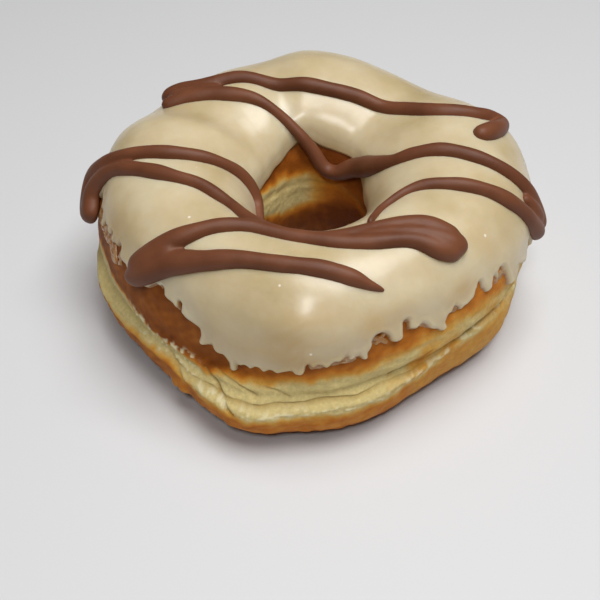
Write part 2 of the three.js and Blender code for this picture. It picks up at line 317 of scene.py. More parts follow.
# %% Ring made from a grid
def welded_ring(columns, rows):
    """A bmesh ring, with each vertex's share of the way round the ring and the section."""
    core_radius = 3
    bm = bmesh.new()
    bmesh.ops.create_grid(bm, x_segments=columns, y_segments=rows, size=0.5)
    for v in bm.verts:
        turned = v.co.x * 2 * math.pi
        rolled = v.co.y * 2 * math.pi
        radius = core_radius + math.cos(rolled)
        v.co = (radius * math.cos(turned), radius * math.sin(turned), math.sin(rolled))
    bmesh.ops.remove_doubles(bm, verts=bm.verts, dist=0.0001)
    bmesh.ops.recalc_face_normals(bm, faces=bm.faces)
    x, y, z = np.array([v.co[:] for v in bm.verts]).T
    ring_share = np.degrees(np.arctan2(y, x)) / 360 % 1
    section_share = np.degrees(np.arctan2(z, np.hypot(x, y) - core_radius)) / 360 % 1
    ring_share = np.round(ring_share * columns) / columns % 1
    return bm, ring_share, np.round(section_share * rows) / rows % 1


def run_between(share, runs):
    """Turns an even share into an uneven place: runs are (start, end, steps)."""
    steps = np.cumsum([0] + [run[2] for run in runs])
    places = [run[0] for run in runs] + [runs[-1][1]]
    return np.interp(np.asarray(share) * steps[-1], steps, places)


def finish_ring(bm, name, points, marks):
    """Moves the vertices to points in mm, keeps marks as attributes, and makes the object."""
    mesh = bpy.data.meshes.new(name)
    bm.to_mesh(mesh)
    bm.free()
    mesh.vertices.foreach_set("co", (points * MM).astype(np.float32).ravel())
    for mark, values in marks.items():
        attribute = mesh.attributes.new(mark, "FLOAT", "POINT")
        attribute.data.foreach_set("value", values.astype(np.float32))
    mesh.polygons.foreach_set("use_smooth", [True] * len(mesh.polygons))
    mesh.update()
    piece = bpy.data.objects.new(name, mesh)
    bpy.context.scene.collection.objects.link(piece)
    print(name, len(mesh.polygons) * 2, "triangles")
    return piece


# %% [markdown]
# ## The fried dough
#
# Three bands run round the outside: brown crust above, the pale band with its crease, and
# golden crust below. The edges of the bands wander, and where the dough was pulled it has
# short folds. An image could be painted for this, but it would know nothing of the shape. Here
# the bands are worked out as numbers for each point, so that the colour and the relief agree,
# and the material later mixes its colours by them.

# %% The pale band and its crease, in millimetres above the underside
BAND_TOP = [
    20, 19.5, 19, 20, 19, 18.5, 19, 19.5, 18.5, 18, 18.5, 18.5,
    18.5, 19.5, 18, 15, 13.8, 14.8, 16.8, 17.9, 19.3, 20.4, 20.8, 20.2,
]
BAND_FOOT = [
    10.5, 11, 10, 10.5, 11, 10, 10.5, 11, 10, 10.5, 10, 9.5,
    11, 10.8, 11, 12.2, 11, 10, 10.4, 10.4, 11.2, 13.9, 14.9, 13,
]
BAND_SOFTNESS = [1.3, 1.2, 1.1, 1.2, 1.1, 1, 0.8, 0.5, 0.7, 1.3, 1.7, 1.7]
# the crease runs along inside the band
CREASE_LINE = [
    13.8, 14.2, 13.6, 14, 13.4, 13.8, 13.3, 13.6, 13, 13.3, 13.6, 13.2,
    13, 12.6, 11.8, 11.8, 11.7, 11.9, 12.6, 13, 13, 14.9, 15.8, 14.6,
]
# the same three for the wall of the hole
HOLE_BAND_TOP = [22, 22, 21.4, 21.7, 22.2, 24, 24, 22.5, 21.5, 21.5, 21.5, 22]
HOLE_BAND_FOOT = [18.3, 17.6, 15.9, 14.2, 14.6, 17.5, 19, 17.5, 16, 15.5, 16, 16.5]
HOLE_CREASE = [19.8, 20.2, 20.3, 20.3, 20.8, 22, 22, 20, 19, 19, 19, 19.5]
# how brown the crust is above and below the band, and how much painted shade darkens the hole further,
# most at its right
BROWNING = [0.6, 0.65, 0.75, 0.7, 0.75, 0.8, 0.74, 0.66, 0.68, 0.62, 0.54, 0.5]
LOWER_BROWNING = [0.22, 0.38, 0.45, 0.45, 0.45, 0.45, 0.45, 0.55, 0.48, 0.42, 0.32, 0.24]
HOLE_PAINTED_SHADE = [0.7, 0.65, 0.45, 0.05, 0, 0, 0, 0.1, 0.3, 0.4, 0.5, 0.6]
HOLE_LOWER_BROWNING = 0.68

# %% Folds of the pale band
# each fold: depth and half width in mm, then its places round the ring and heights
FOLDS = [
    (0.9, 0.32, (244.5, 14.6), (248, 13.1), (251, 11.6), (254, 9.8)),
    (0.45, 0.28, (247.5, 15.4), (252, 14.6), (256, 14.1), (259, 13.1)),
    (0.35, 0.25, (260.5, 15.3), (263.5, 14.9), (266.5, 13.6)),
    (0.4, 0.3, (291, 14.2), (296, 16.3), (302, 17.2)),
    (0.35, 0.3, (306, 16.6), (312, 15.2), (318, 14.9)),
    (0.5, 0.3, (232, 12.6), (236, 11.6), (240, 10)),
    (0.5, 0.3, (22, 14.6), (29, 12.8), (34, 10.9)),
    (0.4, 0.3, (47, 13.4), (53, 15.6), (60, 16.8)),
    (0.5, 0.3, (86, 13.8), (92, 12.3), (96, 10.3)),
    (0.4, 0.3, (112, 13.6), (118, 15.3), (124, 15.9)),
    (0.5, 0.3, (148, 13.8), (153, 12.2), (157, 10.4)),
    (0.4, 0.3, (340, 13.8), (346, 15.2), (352, 15.8)),
]

# %% Dough surface
# the front of the ring and the pale band get more columns and rows than the rest
COLUMN_RUNS = [(-180, -20, 270), (-20, 180, 186)]
ROW_RUNS = [
    (-180, -100, 16), (-100, -60, 8), (-60, -30, 22), (-30, 2, 80),
    (2, 42, 34), (42, 125, 8), (125, 180, 28),
]
DOUGH_COLUMNS = sum(run[2] for run in COLUMN_RUNS)
DOUGH_ROWS = sum(run[2] for run in ROW_RUNS)
bm, ring_share, section_share = welded_ring(DOUGH_COLUMNS, DOUGH_ROWS)
around = run_between(ring_share, COLUMN_RUNS)
section = run_between(section_share, ROW_RUNS)
plain = skin(around, section)
height = plain[:, 2]
outside = np.cos(np.radians(section)) > 0
print("dough grid", DOUGH_COLUMNS, "by", DOUGH_ROWS)

# %% Where the bands lie
softness = around_ring(BAND_SOFTNESS, around)
wander = 0.55 * waves(plain, 4, seed=11, stretch=(1, 1, 3))
wander = wander + 0.3 * waves(plain, 1.3, seed=12, stretch=(1, 1, 2))
top = np.where(outside, around_ring(BAND_TOP, around), around_ring(HOLE_BAND_TOP, around))
foot = np.where(outside, around_ring(BAND_FOOT, around), around_ring(HOLE_BAND_FOOT, around))
above_band = height - top - wander
below_band = foot + wander * 0.8 - height
print("band is", round(float((top - foot)[outside].mean()), 1), "mm wide on the outside")

# %% How brown each place is, with the painted shade in the hole
upper_brown = smooth_step(-softness, softness * 3, above_band) * around_ring(BROWNING, around)
crust = np.where(outside, around_ring(LOWER_BROWNING, around), HOLE_LOWER_BROWNING)
# the lower crust, darker towards the floor
lower_brown = crust * smooth_step(-1, 2.2, below_band) + 0.3 * smooth_step(5.5, 0.5, height)
mottle = 0.08 * waves(plain, 3.5, seed=13) + 0.05 * waves(plain, 1.2, seed=14)
brown_and_hole_shade = np.where(above_band > below_band, upper_brown, lower_brown)
# at the right of the front the band itself took on a little gold
golden = (0.16 + 0.14 * waves(plain, 5, seed=30)) * close_to(around, 322, 18, 38)
brown_and_hole_shade = np.maximum(brown_and_hole_shade, np.where(outside, golden, 0))
brown_and_hole_shade = np.clip(brown_and_hole_shade + mottle * smooth_step(0.05, 0.5, brown_and_hole_shade), 0, 1)
# painted shade: the wall of the hole is browned further where it lies in shade, most at its right
brown_and_hole_shade = np.where(outside, brown_and_hole_shade, brown_and_hole_shade + (1 - brown_and_hole_shade) * around_ring(HOLE_PAINTED_SHADE, around))
pale = 1 - smooth_step(0.05, 0.45, brown_and_hole_shade)
print("share of pale skin", round(float(pale.mean()), 3))

# %% Sugar flakes along the top of the band at the front left, and the crumbly rim of the crust, whose raised crumbs carry painted highlights
flaky = np.exp(-(((above_band - 0.4) / 1.3) ** 4)) * close_to(around, 229, 10, 15)
flaky = flaky * smooth_step(0.1, 0.3, waves(plain, 0.9, seed=15))
# painted highlight: near-white dots on raised crumbs just above the lower crust
rim_crumbs_and_highlights = 0.75 * bell(below_band + 0.9, 0.7) * close_to(around, 285, 55, 75)
rim_crumbs_and_highlights = rim_crumbs_and_highlights * smooth_step(0, 0.7, waves(plain, 0.8, seed=16))
flakes_and_highlights = np.where(outside, flaky + rim_crumbs_and_highlights, 0)
print("share of flecked skin", round(float((flakes_and_highlights > 0.5).mean()), 3))


# %% Folds and crease of the dough
MM_PER_DEGREE_OF_DOUGH = 46 * math.pi / 180


def stroke_depth(depth, half_width, *places):
    """How deep a fold cuts at each vertex, for places given as (degrees, height)."""
    cut = np.zeros(len(around))
    for (a0, z0), (a1, z1) in zip(places, places[1:]):
        x = turn(around, a0) * MM_PER_DEGREE_OF_DOUGH
        run = np.array([(a1 - a0) * MM_PER_DEGREE_OF_DOUGH, z1 - z0])
        t = np.clip((x * run[0] + (height - z0) * run[1]) / (run @ run), 0, 1)
        gap = np.hypot(x - t * run[0], height - z0 - t * run[1])
        cut = np.maximum(cut, depth * bell(gap, half_width))
    return np.where(outside, cut, 0)


folds = np.max([stroke_depth(*fold) for fold in FOLDS], axis=0)
above_line = height - around_ring(CREASE_LINE, around) - 0.25 * waves(plain, 5, seed=21)
# the crease comes and goes, and is faint at the left and at the right of the front
shallow = 1 - 0.6 * close_to(around, 324, 18, 34)
broken = 0.55 + 0.45 * smooth_step(-0.7, 0.6, waves(plain, 9, seed=22))
broken = broken * shallow * (1 - 0.8 * close_to(around, 212, 20, 28))
groove_and_painted_shade = np.where(outside, broken * bell(above_line, 0.28), 0)
hole_line = height - around_ring(HOLE_CREASE, around) - 0.25 * waves(plain, 4, seed=23)
groove_and_painted_shade = groove_and_painted_shade + np.where(outside, 0, 0.5 * bell(hole_line, 0.5))
# the lower half swells out to a lip just under the crease
lip = np.where(outside, shallow * bell(above_line + 0.9, 0.7), 0)
print("deepest fold", folds.max().round(2), "mm")

# %% Relief of the dough
FOOT_ROUND = 1.8
FOOT_HEIGHT = 3.4
# one torn bulge low at the front left
torn = bell(turn(around, 236), 3.5) * bell(height - 7, 2) * (0.7 + 0.5 * waves(plain, 1.5, seed=29))
# fine wrinkles along the pale band, pimples and soft lumps all over, and a ragged foot
wrinkle = 0.1 * pale * waves(plain, 1.1, seed=24, stretch=(3.5, 3.5, 1))
bumpy = (0.09 + 0.09 * smooth_step(11, 7, height)) * waves(plain, 2.2, seed=25)
bumpy = bumpy + 0.04 * waves(plain, 0.9, seed=26)
lumpy = 0.22 * waves(plain, 9, seed=27)
ragged = 0.16 * smooth_step(7, 2, height) * np.abs(waves(plain, 1.6, seed=28))
# the foot turns in to the floor as a quarter of an oval
rounding = FOOT_ROUND * (1 - np.sqrt(1 - np.clip(1 - height / FOOT_HEIGHT, 0, 1) ** 2))
relief = lumpy + bumpy + wrinkle + 0.4 * lip - 0.6 * groove_and_painted_shade - folds - ragged - 0.25
relief = relief + 0.25 * flakes_and_highlights + np.where(outside, torn - rounding, 0)
print("relief from", relief.min().round(2), "to", relief.max().round(2), "mm")

# %% The dough itself
on_floor = height < 0.02
points = skin(around, section, np.where(on_floor, 0, relief))
points[on_floor, 2] = 0
# the creases and folds also mark where painted shade darkens the colour
groove_and_painted_shade = np.clip(0.6 * groove_and_painted_shade + 0.8 * folds, 0, 1)
dough = finish_ring(bm, "dough_ring", points, {"brown_and_hole_shade": brown_and_hole_shade, "groove_and_painted_shade": groove_and_painted_shade, "flakes_and_highlights": flakes_and_highlights})
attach(dough, "root")
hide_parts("dough")

# %% [markdown]
# ### How the fried dough looks
#
# Fried dough is a dry, slightly oily skin. The crust is a deep orange brown that varies in
# soft patches, with darker specks where bubbles browned, and the band is the colour of butter
# with a hint of green in the shade. Light sinks a little way into both, which a touch of
# subsurface scattering gives. One flat colour would look like plastic, so a colour ramp is read
# by how brown each place is, with a noise added to break up the edges of its steps. The bump is
# the fine orange-peel grain, about half a millimetre across, that is too small for the mesh.

# %% Fried dough: its marks and patterns
material, tree, shader = new_material("fried yeast dough")
place = add(tree, "ShaderNodeTexCoord").outputs["Object"]
marks = {
    mark: add(tree, "ShaderNodeAttribute", attribute_name=mark).outputs["Fac"]
    for mark in ("brown_and_hole_shade", "groove_and_painted_shade", "flakes_and_highlights")
}
# soft browned patches about 2 mm across, crumb about 0.9 mm and grain about 0.6 mm across
patches, crumbs, grains = (
    add(tree, "ShaderNodeTexNoise", {
        "Vector": place, "Scale": per_mm * PER_MM, "Detail": 4, "Roughness": roughness,
    }).outputs["Fac"]
    for per_mm, roughness in ((0.5, 0.6), (1.1, 0.65), (1.6, 0.65))
)
print("dough marks", list(marks))

# %% Fried dough: its colours
# how brown, with the painted shade in the hole, plus a fifth of how brown and of the patches, which makes
# the edges of bands ragged
uneven = add(tree, "ShaderNodeMath", {0: marks["brown_and_hole_shade"], 1: patches})
uneven = add(tree, "ShaderNodeMath", {0: uneven.outputs[0], 1: 0.5}, operation="SUBTRACT")
uneven = add(tree, "ShaderNodeMath", {
    0: uneven.outputs[0], 1: 0.2, 2: marks["brown_and_hole_shade"],
}, operation="MULTIPLY_ADD")
# from butter through gold and orange brown to dark brown
crust_colour = add(tree, "ShaderNodeValToRGB", {"Fac": uneven.outputs[0]}, stops=[
    (0.04, "d3bf83"), (0.25, "d39f48"), (0.5, "c47724"), (0.75, "9a5518"), (1, "6f360b"),
])
# the crumb lightens and darkens the pale dough most, and the brown crust least
crumb = add(tree, "ShaderNodeMapRange", {0: crumbs, 1: 0.3, 2: 0.7, 3: 0.86, 4: 1.12})
crumbly = add(tree, "ShaderNodeMapRange", {0: marks["brown_and_hole_shade"], 1: 0.1, 2: 0.6, 3: 1, 4: 0.35})
dough_colour = add(tree, "ShaderNodeMix", {
    0: crumbly.outputs[0], 6: crust_colour.outputs["Color"], 7: crumb.outputs[0],
}, data_type="RGBA", blend_type="MULTIPLY").outputs[2]
# painted shade darkens the creases and folds; the sugar flakes and the painted highlights on the crumbly
# rim are nearly white
for mark, colour in (("groove_and_painted_shade", "a07c3a"), ("flakes_and_highlights", "eadfb6")):
    dough_colour = add(tree, "ShaderNodeMix", {
        0: marks[mark], 6: dough_colour, 7: linear(colour),
    }, data_type="RGBA").outputs[2]
tree.links.new(dough_colour, shader.inputs["Base Color"])
print("dough material", len(tree.nodes), "nodes")

# %% Fried dough: its surface
grain = add(tree, "ShaderNodeBump", {"Height": grains, "Strength": 0.5, "Distance": 0.3 * MM})
tree.links.new(grain.outputs["Normal"], shader.inputs["Normal"])
shader.inputs["Roughness"].default_value = 0.62
shader.inputs["Specular IOR Level"].default_value = 0.15
shader.inputs["IOR"].default_value = 1.45
shader.inputs["Subsurface Weight"].default_value = 0.12
shader.inputs["Subsurface Radius"].default_value = (1.0, 0.5, 0.25)
shader.inputs["Subsurface Scale"].default_value = 1.5 * MM
dough.data.materials.append(material)
print("dough wears", material.name)

# %% [markdown]
# ## The icing coat
#
# Warm icing is dipped on and runs until it sets. It lies about 1.3 mm thick, pulls itself into
# a rounded bead at its edge, and ends in small teeth, a few long drips, and places where it
# tore into a thin film with holes. A Solidify modifier would give an edge of one thickness.
# Here the ring of quads wraps the sheet all round, so the thickness can follow a rule: a
# quarter circle up from the edge with a slight bead behind it, and from there a slow rise over
# some millimetres to the full thickness on top.

# %% Edges and drips of the icing
# section angles of the edges, every 7.5 degrees round the outside and every 15 round the hole
OUTER_EDGE = [
    28, 27, 29, 27, 25, 28, 29, 27, 29, 28, 29, 31, 27, 28, 30, 29,
    31, 31, 29, 31, 32, 31, 34, 34, 37, 38, 34.3, 37.5, 38, 36, 38, 37,
    30.5, 15, 8, 10, 16.5, 22.5, 27, 35, 33, 31, 34, 33, 25, 22, 24, 27,
]
HOLE_EDGE = [
    162, 159, 153, 144.5, 143, 143, 140.5, 143.5, 149, 151, 152.5, 153.5,
    154.5, 158, 164, 168, 168, 166, 165, 165, 167, 168, 165, 161,
]
# each drip: place of its tip, section angle of its tip, half width in mm, and lean in degrees
DRIPS = [
    (205, 35, 0.9, 0), (212.3, 32.8, 1.2, 0), (216.5, 31.5, 1.6, 0), (222.5, 30.5, 2.2, 0),
    (231.4, 35, 0.7, 0), (233.2, 35.4, 0.4, 0), (234.9, 33.4, 0.6, 0), (236.9, 31.2, 0.4, 0),
    (238.6, 29.8, 0.9, 0), (240.8, 27.8, 0.9, 0),
    (243.6, 11.4, 0.8, -1.5), (248.8, 10.8, 1.4, 0), (252.4, -2, 0.85, 0.3), (268.6, 11.3, 1, 0),
    (280.5, 21.5, 0.5, 0), (283.8, 19, 0.6, 0.5), (292.1, 26.5, 1.3, 0), (304.8, 19.6, 0.9, 3),
    (302.5, 25.5, 1.6, 2.5), (312, 31, 2.4, 0), (320.2, 27.5, 1.1, 0), (330, 16.5, 1.7, 0),
    (338, 19, 1.2, 0), (345.5, 15, 1.1, 0), (352, 25, 2, 0), (4, 15, 1.2, 0), (13, 24, 1.8, 0),
    (22, 20, 1.2, 0), (31, 12, 1.3, 0.5), (41, 24, 2, 0), (50, 16, 1.1, 0), (61, 24, 1.8, 0),
    (70, 19, 1.2, 0), (82, 26, 2.2, 0), (93, 14, 1.2, 0), (104, 25, 1.8, 0), (113, 20, 1.2, 0),
    (124, 27, 2, 0), (135, 17, 1.1, 0), (146, 28, 1.8, 0), (157, 21, 1.2, 0), (168, 30, 2, 0),
    (177, 25, 1.2, 0), (184.5, 33, 1, 0),
]
# each notch: place, section angle of its top, half width in mm
NOTCHES = [
    (203.6, 39.4, 0.4), (209.7, 40.2, 0.6), (229.4, 40.6, 0.5), (236, 38, 0.5), (287.7, 36.6, 1.6),
    (294.5, 40, 0.55), (308.8, 32.6, 0.9), (317.3, 38.6, 0.45), (325.4, 36.5, 0.8), (342, 27, 0.6),
    (9, 33, 0.9), (36, 32, 0.9), (65.5, 34, 0.8), (99, 33, 0.9), (130, 35, 0.8), (162, 37, 0.7),
]

# %% Films, holes, bulges, sheer places and painted shade of the icing
# each thin film: start and end as (place, section angle), and half width in mm
FILMS = [
    ((191.5, 32), (201, 34), 2.3), ((203, 34), (206.8, 26), 1.4), ((210.4, 36), (210.6, 29.5), 0.9),
    ((272.5, 19.5), (280.5, 22), 1.1), ((286.6, 34.5), (289, 29), 0.4),
    ((288.8, 35), (286.8, 29.5), 0.35), ((295, 39.5), (300.5, 31.5), 0.4),
    ((296.6, 40), (298, 33), 0.35), ((299.6, 37), (296.8, 32.8), 0.35),
    ((298.5, 33.4), (302, 29), 0.7), ((309, 32), (314, 32), 0.6), ((324, 31), (326.5, 31), 0.9),
    ((245, 30), (246, 17), 0.9), ((340, 33), (343, 26), 1.2), ((100, 31), (101, 24), 1.2),
]
# each bubble or tear: place, section angle and radius in mm
HOLES = [
    (191.5, 30.5, 0.5), (193.8, 28.6, 0.4), (195.6, 30.5, 0.55), (198, 28.5, 0.45), (199.6, 31.5, 0.5),
    (201.8, 33, 0.4), (203.8, 32.5, 0.45), (205.8, 28.5, 0.4), (196.8, 33.2, 0.35), (193.4, 33, 0.35),
    (275.5, 19.6, 0.35), (278.6, 20.6, 0.4), (310, 31.5, 0.4), (313, 31, 0.35), (326, 29.5, 0.5),
    (245.4, 23.5, 0.35), (341, 29.5, 0.45), (100.6, 27.5, 0.45),
]
# each bulge where the icing gathered: place, section angle, height in mm, half sizes in degrees
BULGES = [
    (268, 45, 0.75, 13, 9), (297, 51, 0.5, 7, 8), (232, 52, 0.3, 9, 8), (85, 88, 0.3, 9, 9),
    (94, 17, -0.3, 22, 16),
]
# each place where the crust shows through, or where painted shade darkens the low front: place, section
# angle, strength, half sizes in degrees
SHEER_AND_SHADE = [
    (262, 24, 0.6, 15, 9), (270, 37, 0.7, 9, 6), (290, 44, 0.7, 8, 8),
    (312, 42, 0.6, 5, 7), (205, 45, 0.5, 8, 8), (238, 62, 0.4, 8, 6), (275, 50, 0.35, 10, 6),
    (325, 55, 0.3, 10, 12), (30, 30, 0.6, 12, 10), (95, 32, 0.6, 14, 10), (150, 34, 0.6, 12, 10),
]
print(len(DRIPS), "drips,", len(FILMS), "films,", len(HOLES), "holes")


# %% How far inside the icing a place is
# one degree round the ring and one over the section, at the edge of the icing
MM_PER_DEGREE = 0.785
MM_PER_SECTION_DEGREE = 0.358
RING_STEP = 0.25
SLANT_FADE = 2.5
DRIP_REACH = 16
DRIP_FILLET = 1.9
NOTCH_REACH = 24
NOTCH_FILLET = 0.5


def from_finger(around, section, start, end, radius):
    """Distance in mm inside a rounded finger between two (place, section angle) points."""
    scale = np.array([MM_PER_DEGREE, MM_PER_SECTION_DEGREE])
    x = turn(around, start[0]) * scale[0]
    y = (section - start[1]) * scale[1]
    run = (np.array(end) - start) * scale
    t = np.clip((x * run[0] + y * run[1]) / max(run @ run, 1e-9), 0, 1)
    return radius - np.hypot(x - t * run[0], y - t * run[1])


def joined(first, second, blend):
    """The larger of two distances, with a fillet of about blend mm where they meet."""
    overlap = np.clip(blend - np.abs(first - second), 0, None) / blend
    return np.maximum(first, second) + overlap**2 * blend / 4


def inside_icing(around, section):
    """Distance in mm inside the outer edge of the icing, negative outside it."""
    ring = np.arange(0, 360, RING_STEP)
    # the small teeth of the edge
    on_edge = skin(ring, np.full(len(ring), 25.0))
    line = around_ring(OUTER_EDGE, ring)
    line = line + 2.6 * waves(on_edge, 1.1, seed=31) + 1.2 * waves(on_edge, 2.6, seed=32)
    slope = np.gradient(np.r_[line[-1], line, line[0]])[1:-1] / RING_STEP
    slant = np.hypot(1, slope * MM_PER_SECTION_DEGREE / MM_PER_DEGREE) - 1
    inside = (section - np.interp(around % 360, ring, line, period=360)) * MM_PER_SECTION_DEGREE
    # near a slanting edge the distance is shorter, and a few millimetres in it makes no odds
    slant = np.interp(around % 360, ring, slant, period=360) * bell(inside, SLANT_FADE)
    inside = inside / (1 + slant)
    for place, tip, half_width, lean in DRIPS:
        end = tip + half_width / MM_PER_SECTION_DEGREE
        drip = from_finger(around, section, (place - lean, end + DRIP_REACH), (place, end), half_width)
        inside = joined(inside, drip, DRIP_FILLET)
    for place, high, half_width in NOTCHES:
        end = high - half_width / MM_PER_SECTION_DEGREE
        notch = from_finger(around, section, (place, end), (place, end - NOTCH_REACH), half_width)
        inside = -joined(-inside, notch, NOTCH_FILLET)
    return inside


print("from edge to crown", inside_icing(np.array([270]), np.array([90])).round(1), "mm")


# %% Where the rows of the icing mesh lie
# tries a grid of places, and finds between which section angles the edge lies at each place
LOWEST_TRY = -8
HIGHEST_TRY = 50
MARGIN_BELOW = 1.5
MARGIN_ABOVE = 5


def widened(values, pick, reach=4):
    """The lowest or highest value within reach steps to each side, then smoothed."""
    steps = range(-reach, reach + 1)
    picked = pick([np.roll(values, step) for step in steps], axis=0)
    return np.mean([np.roll(picked, step) for step in steps], axis=0)


tried_ring = np.arange(0, 360, 0.5)
tried_section = np.arange(LOWEST_TRY, HIGHEST_TRY, 0.5)
covered = inside_icing(*np.meshgrid(tried_ring, tried_section, indexing="ij")) > 0
lowest = np.where(covered, tried_section, HIGHEST_TRY).min(axis=1)
highest = np.where(covered, LOWEST_TRY, tried_section).max(axis=1)
for start, end, half_width in FILMS:
    beside = np.abs(turn(tried_ring, (start[0] + end[0]) / 2)) < abs(end[0] - start[0]) / 2 + 3
    film_foot = min(start[1], end[1]) - half_width / MM_PER_SECTION_DEGREE
    lowest = np.where(beside, np.minimum(lowest, film_foot), lowest)
low_line = widened(lowest, np.min) - MARGIN_BELOW
high_line = widened(highest, np.max) + MARGIN_ABOVE
print("dense rows from", low_line.min().round(1), "to", high_line.max().round(1), "degrees")

# %% Icing surface
# over the section: the outer edge, the top, the last 8 degrees before the hole, and then the
# hidden side all the way back
COLUMN_RUNS = [(-180, -12, 570), (-12, 180, 310)]
ROW_RUNS = [(0, 1, 64), (1, 2, 26), (2, 3, 14), (3, 4, 8)]
HOLE_EDGE_BAND = 8
ICING_COLUMNS = sum(run[2] for run in COLUMN_RUNS)
ICING_ROWS = sum(run[2] for run in ROW_RUNS)
bm, ring_share, section_share = welded_ring(ICING_COLUMNS, ICING_ROWS)
around = run_between(ring_share, COLUMN_RUNS)
across = run_between(section_share, ROW_RUNS)
low = np.interp(around % 360, tried_ring, low_line, period=360)
high = np.interp(around % 360, tried_ring, high_line, period=360)
hole_edge = around_ring(HOLE_EDGE, around)
hole_edge = hole_edge + 0.8 * waves(skin(around, hole_edge), 3, seed=33)
near_hole = hole_edge - HOLE_EDGE_BAND
section = np.choose(np.clip(across.astype(int), 0, 3), [
    low + (high - low) * across,
    high + (near_hole - high) * (across - 1),
    near_hole + (hole_edge - near_hole) * (across - 2),
    hole_edge + (low - hole_edge) * (across - 3),
])
hidden = across > 3
inside = inside_icing(around, section)
from_hole_edge = (hole_edge - section) * MM_PER_SECTION_DEGREE
print("icing grid", ICING_COLUMNS, "by", ICING_ROWS)


# %% Icing thickness
EDGE_RADIUS = 0.8


def quarter_round(distance, radius):
    """Rises from 0 at an edge to 1 at radius, as the side of a bead does."""
    short = 1 - np.clip(distance / radius, 0, 1)
    return np.sqrt(np.clip(1 - short**2, 0, 1))


def patch(place, angle, wide, tall):
    """A soft oval patch of half sizes wide and tall in degrees, 1 in its middle."""
    return bell(turn(around, place), wide) * bell(section - angle, tall)


lying = skin(around, section)
above_edge = (section - around_ring(OUTER_EDGE, around)) * MM_PER_SECTION_DEGREE
thick = 0.76 + 0.54 * smooth_step(0.5, 6, above_edge)
thick = thick + 0.1 * bell(inside - EDGE_RADIUS, 0.5)
thick = thick * quarter_round(inside, EDGE_RADIUS) * (0.25 + 0.75 * smooth_step(0, 5, from_hole_edge))
# it lies unevenly, but not at its edges
off_edges = smooth_step(0, 4, above_edge) * smooth_step(0, 3, from_hole_edge)
thick = thick + 0.14 * waves(lying, 9, seed=36) * off_edges
for place, angle, rise, wide, tall in BULGES:
    thick = thick + rise * patch(place, angle, wide, tall) * smooth_step(0, 3, above_edge)
print("thickest icing", thick[~hidden].max().round(2), "mm")

# %% Films with bubbles and tears
FILM_THICKNESS = 0.13
film = np.max([from_finger(around, section, *ends) for ends in FILMS], axis=0)
film = film + 0.3 * waves(lying, 0.8, seed=35) + 0.2 * waves(lying, 2, seed=37)
film_thick = FILM_THICKNESS * quarter_round(film, 0.3) + 0.06 * waves(lying, 0.7, seed=38) * (film > 0)
hollow = np.zeros(len(around))
for place, angle, radius in HOLES:
    away = -from_finger(around, section, (place, angle), (place, angle), 0)
    hollow = np.maximum(hollow, smooth_step(radius * 1.2, radius * 0.7, away))
    # a raised ring round the hole
    raised = 0.14 * bell(away - radius * 1.4, radius * 0.35)
    film_thick = film_thick + raised * (film > 0)
film_thick = film_thick * (1 - hollow) - 0.6 * hollow
only_film = (film > 0) & (film_thick > thick)
thick = np.where(film > 0, np.maximum(thick, film_thick), thick)
# where there is no icing, the sheet dives under the skin of the dough
bare = (inside < 0) & (film < 0)
thick = np.where(bare, np.maximum(1.6 * np.maximum(inside, film), -1), thick)
print("share of film", round(float(only_film[~hidden].mean()), 3))

# %% The coat itself
HIDDEN_DEPTH = -1.5
HOLE_EDGE_DIP = -0.7
THIN_BELOW = 0.6
dip = np.where(bare, 0, HOLE_EDGE_DIP * smooth_step(0.5, 0, from_hole_edge))
points = skin(around, section, np.where(hidden, HIDDEN_DEPTH, thick + dip))
thin = np.clip(1 - thick / THIN_BELOW, 0, 1) * (~hidden)
sheer_and_shade = np.zeros(len(around))
for place, angle, strength, wide, tall in SHEER_AND_SHADE:
    sheer_and_shade = np.maximum(sheer_and_shade, strength * patch(place, angle, wide, tall))
sheer_and_shade = np.clip(sheer_and_shade * (1 + 0.7 * waves(lying, 6, seed=39)), 0, 1)
coat = finish_ring(bm, "icing_coat", points, {"thin": thin, "film": only_film, "sheer_and_shade": sheer_and_shade})
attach(coat, "root")
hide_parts("icing")

# %% [markdown]
# ### How the icing looks
#
# Caramel icing is sugar and fat with a satin gloss. It is a pale tan, a little darker and
# warmer where it is thin and the crust shows through, and faintly cloudy where it was stirred.
# Real transparency would show the crust too, but it renders slowly and noisily, so the marks of
# the mesh say where the coat is thin, a film or sheer, and the colour follows them. The sheer
# mark also paints shade, darker and browner, on the low front of the ring. A broad, weak bump
# bends the highlights as the slow ripples of the real surface do.

# %% Caramel icing: its marks and patterns
material, tree, shader = new_material("set caramel icing")
place = add(tree, "ShaderNodeTexCoord").outputs["Object"]
marks = {
    mark: add(tree, "ShaderNodeAttribute", attribute_name=mark).outputs["Fac"]
    for mark in ("thin", "film", "sheer_and_shade")
}
# clouds about 17 mm across, streaks of the films about 1.3 mm, and ripples about 3 mm
clouds, streaks, ripples = (
    add(tree, "ShaderNodeTexNoise", {
        "Vector": place, "Scale": per_mm * PER_MM, "Detail": detail, "Roughness": roughness,
    }).outputs["Fac"]
    for per_mm, detail, roughness in ((0.06, 4, 0.55), (0.8, 3, 0.55), (0.35, 2, 0.4))
)
# a few undissolved grains of sugar, one in every 8 mm and about half a millimetre across
grains = add(tree, "ShaderNodeTexVoronoi", {"Vector": place, "Scale": 0.13 * PER_MM})
grains = add(tree, "ShaderNodeMapRange", {0: grains.outputs["Distance"], 1: 0.045, 2: 0.028, 4: 0.8})
print("icing marks", list(marks))

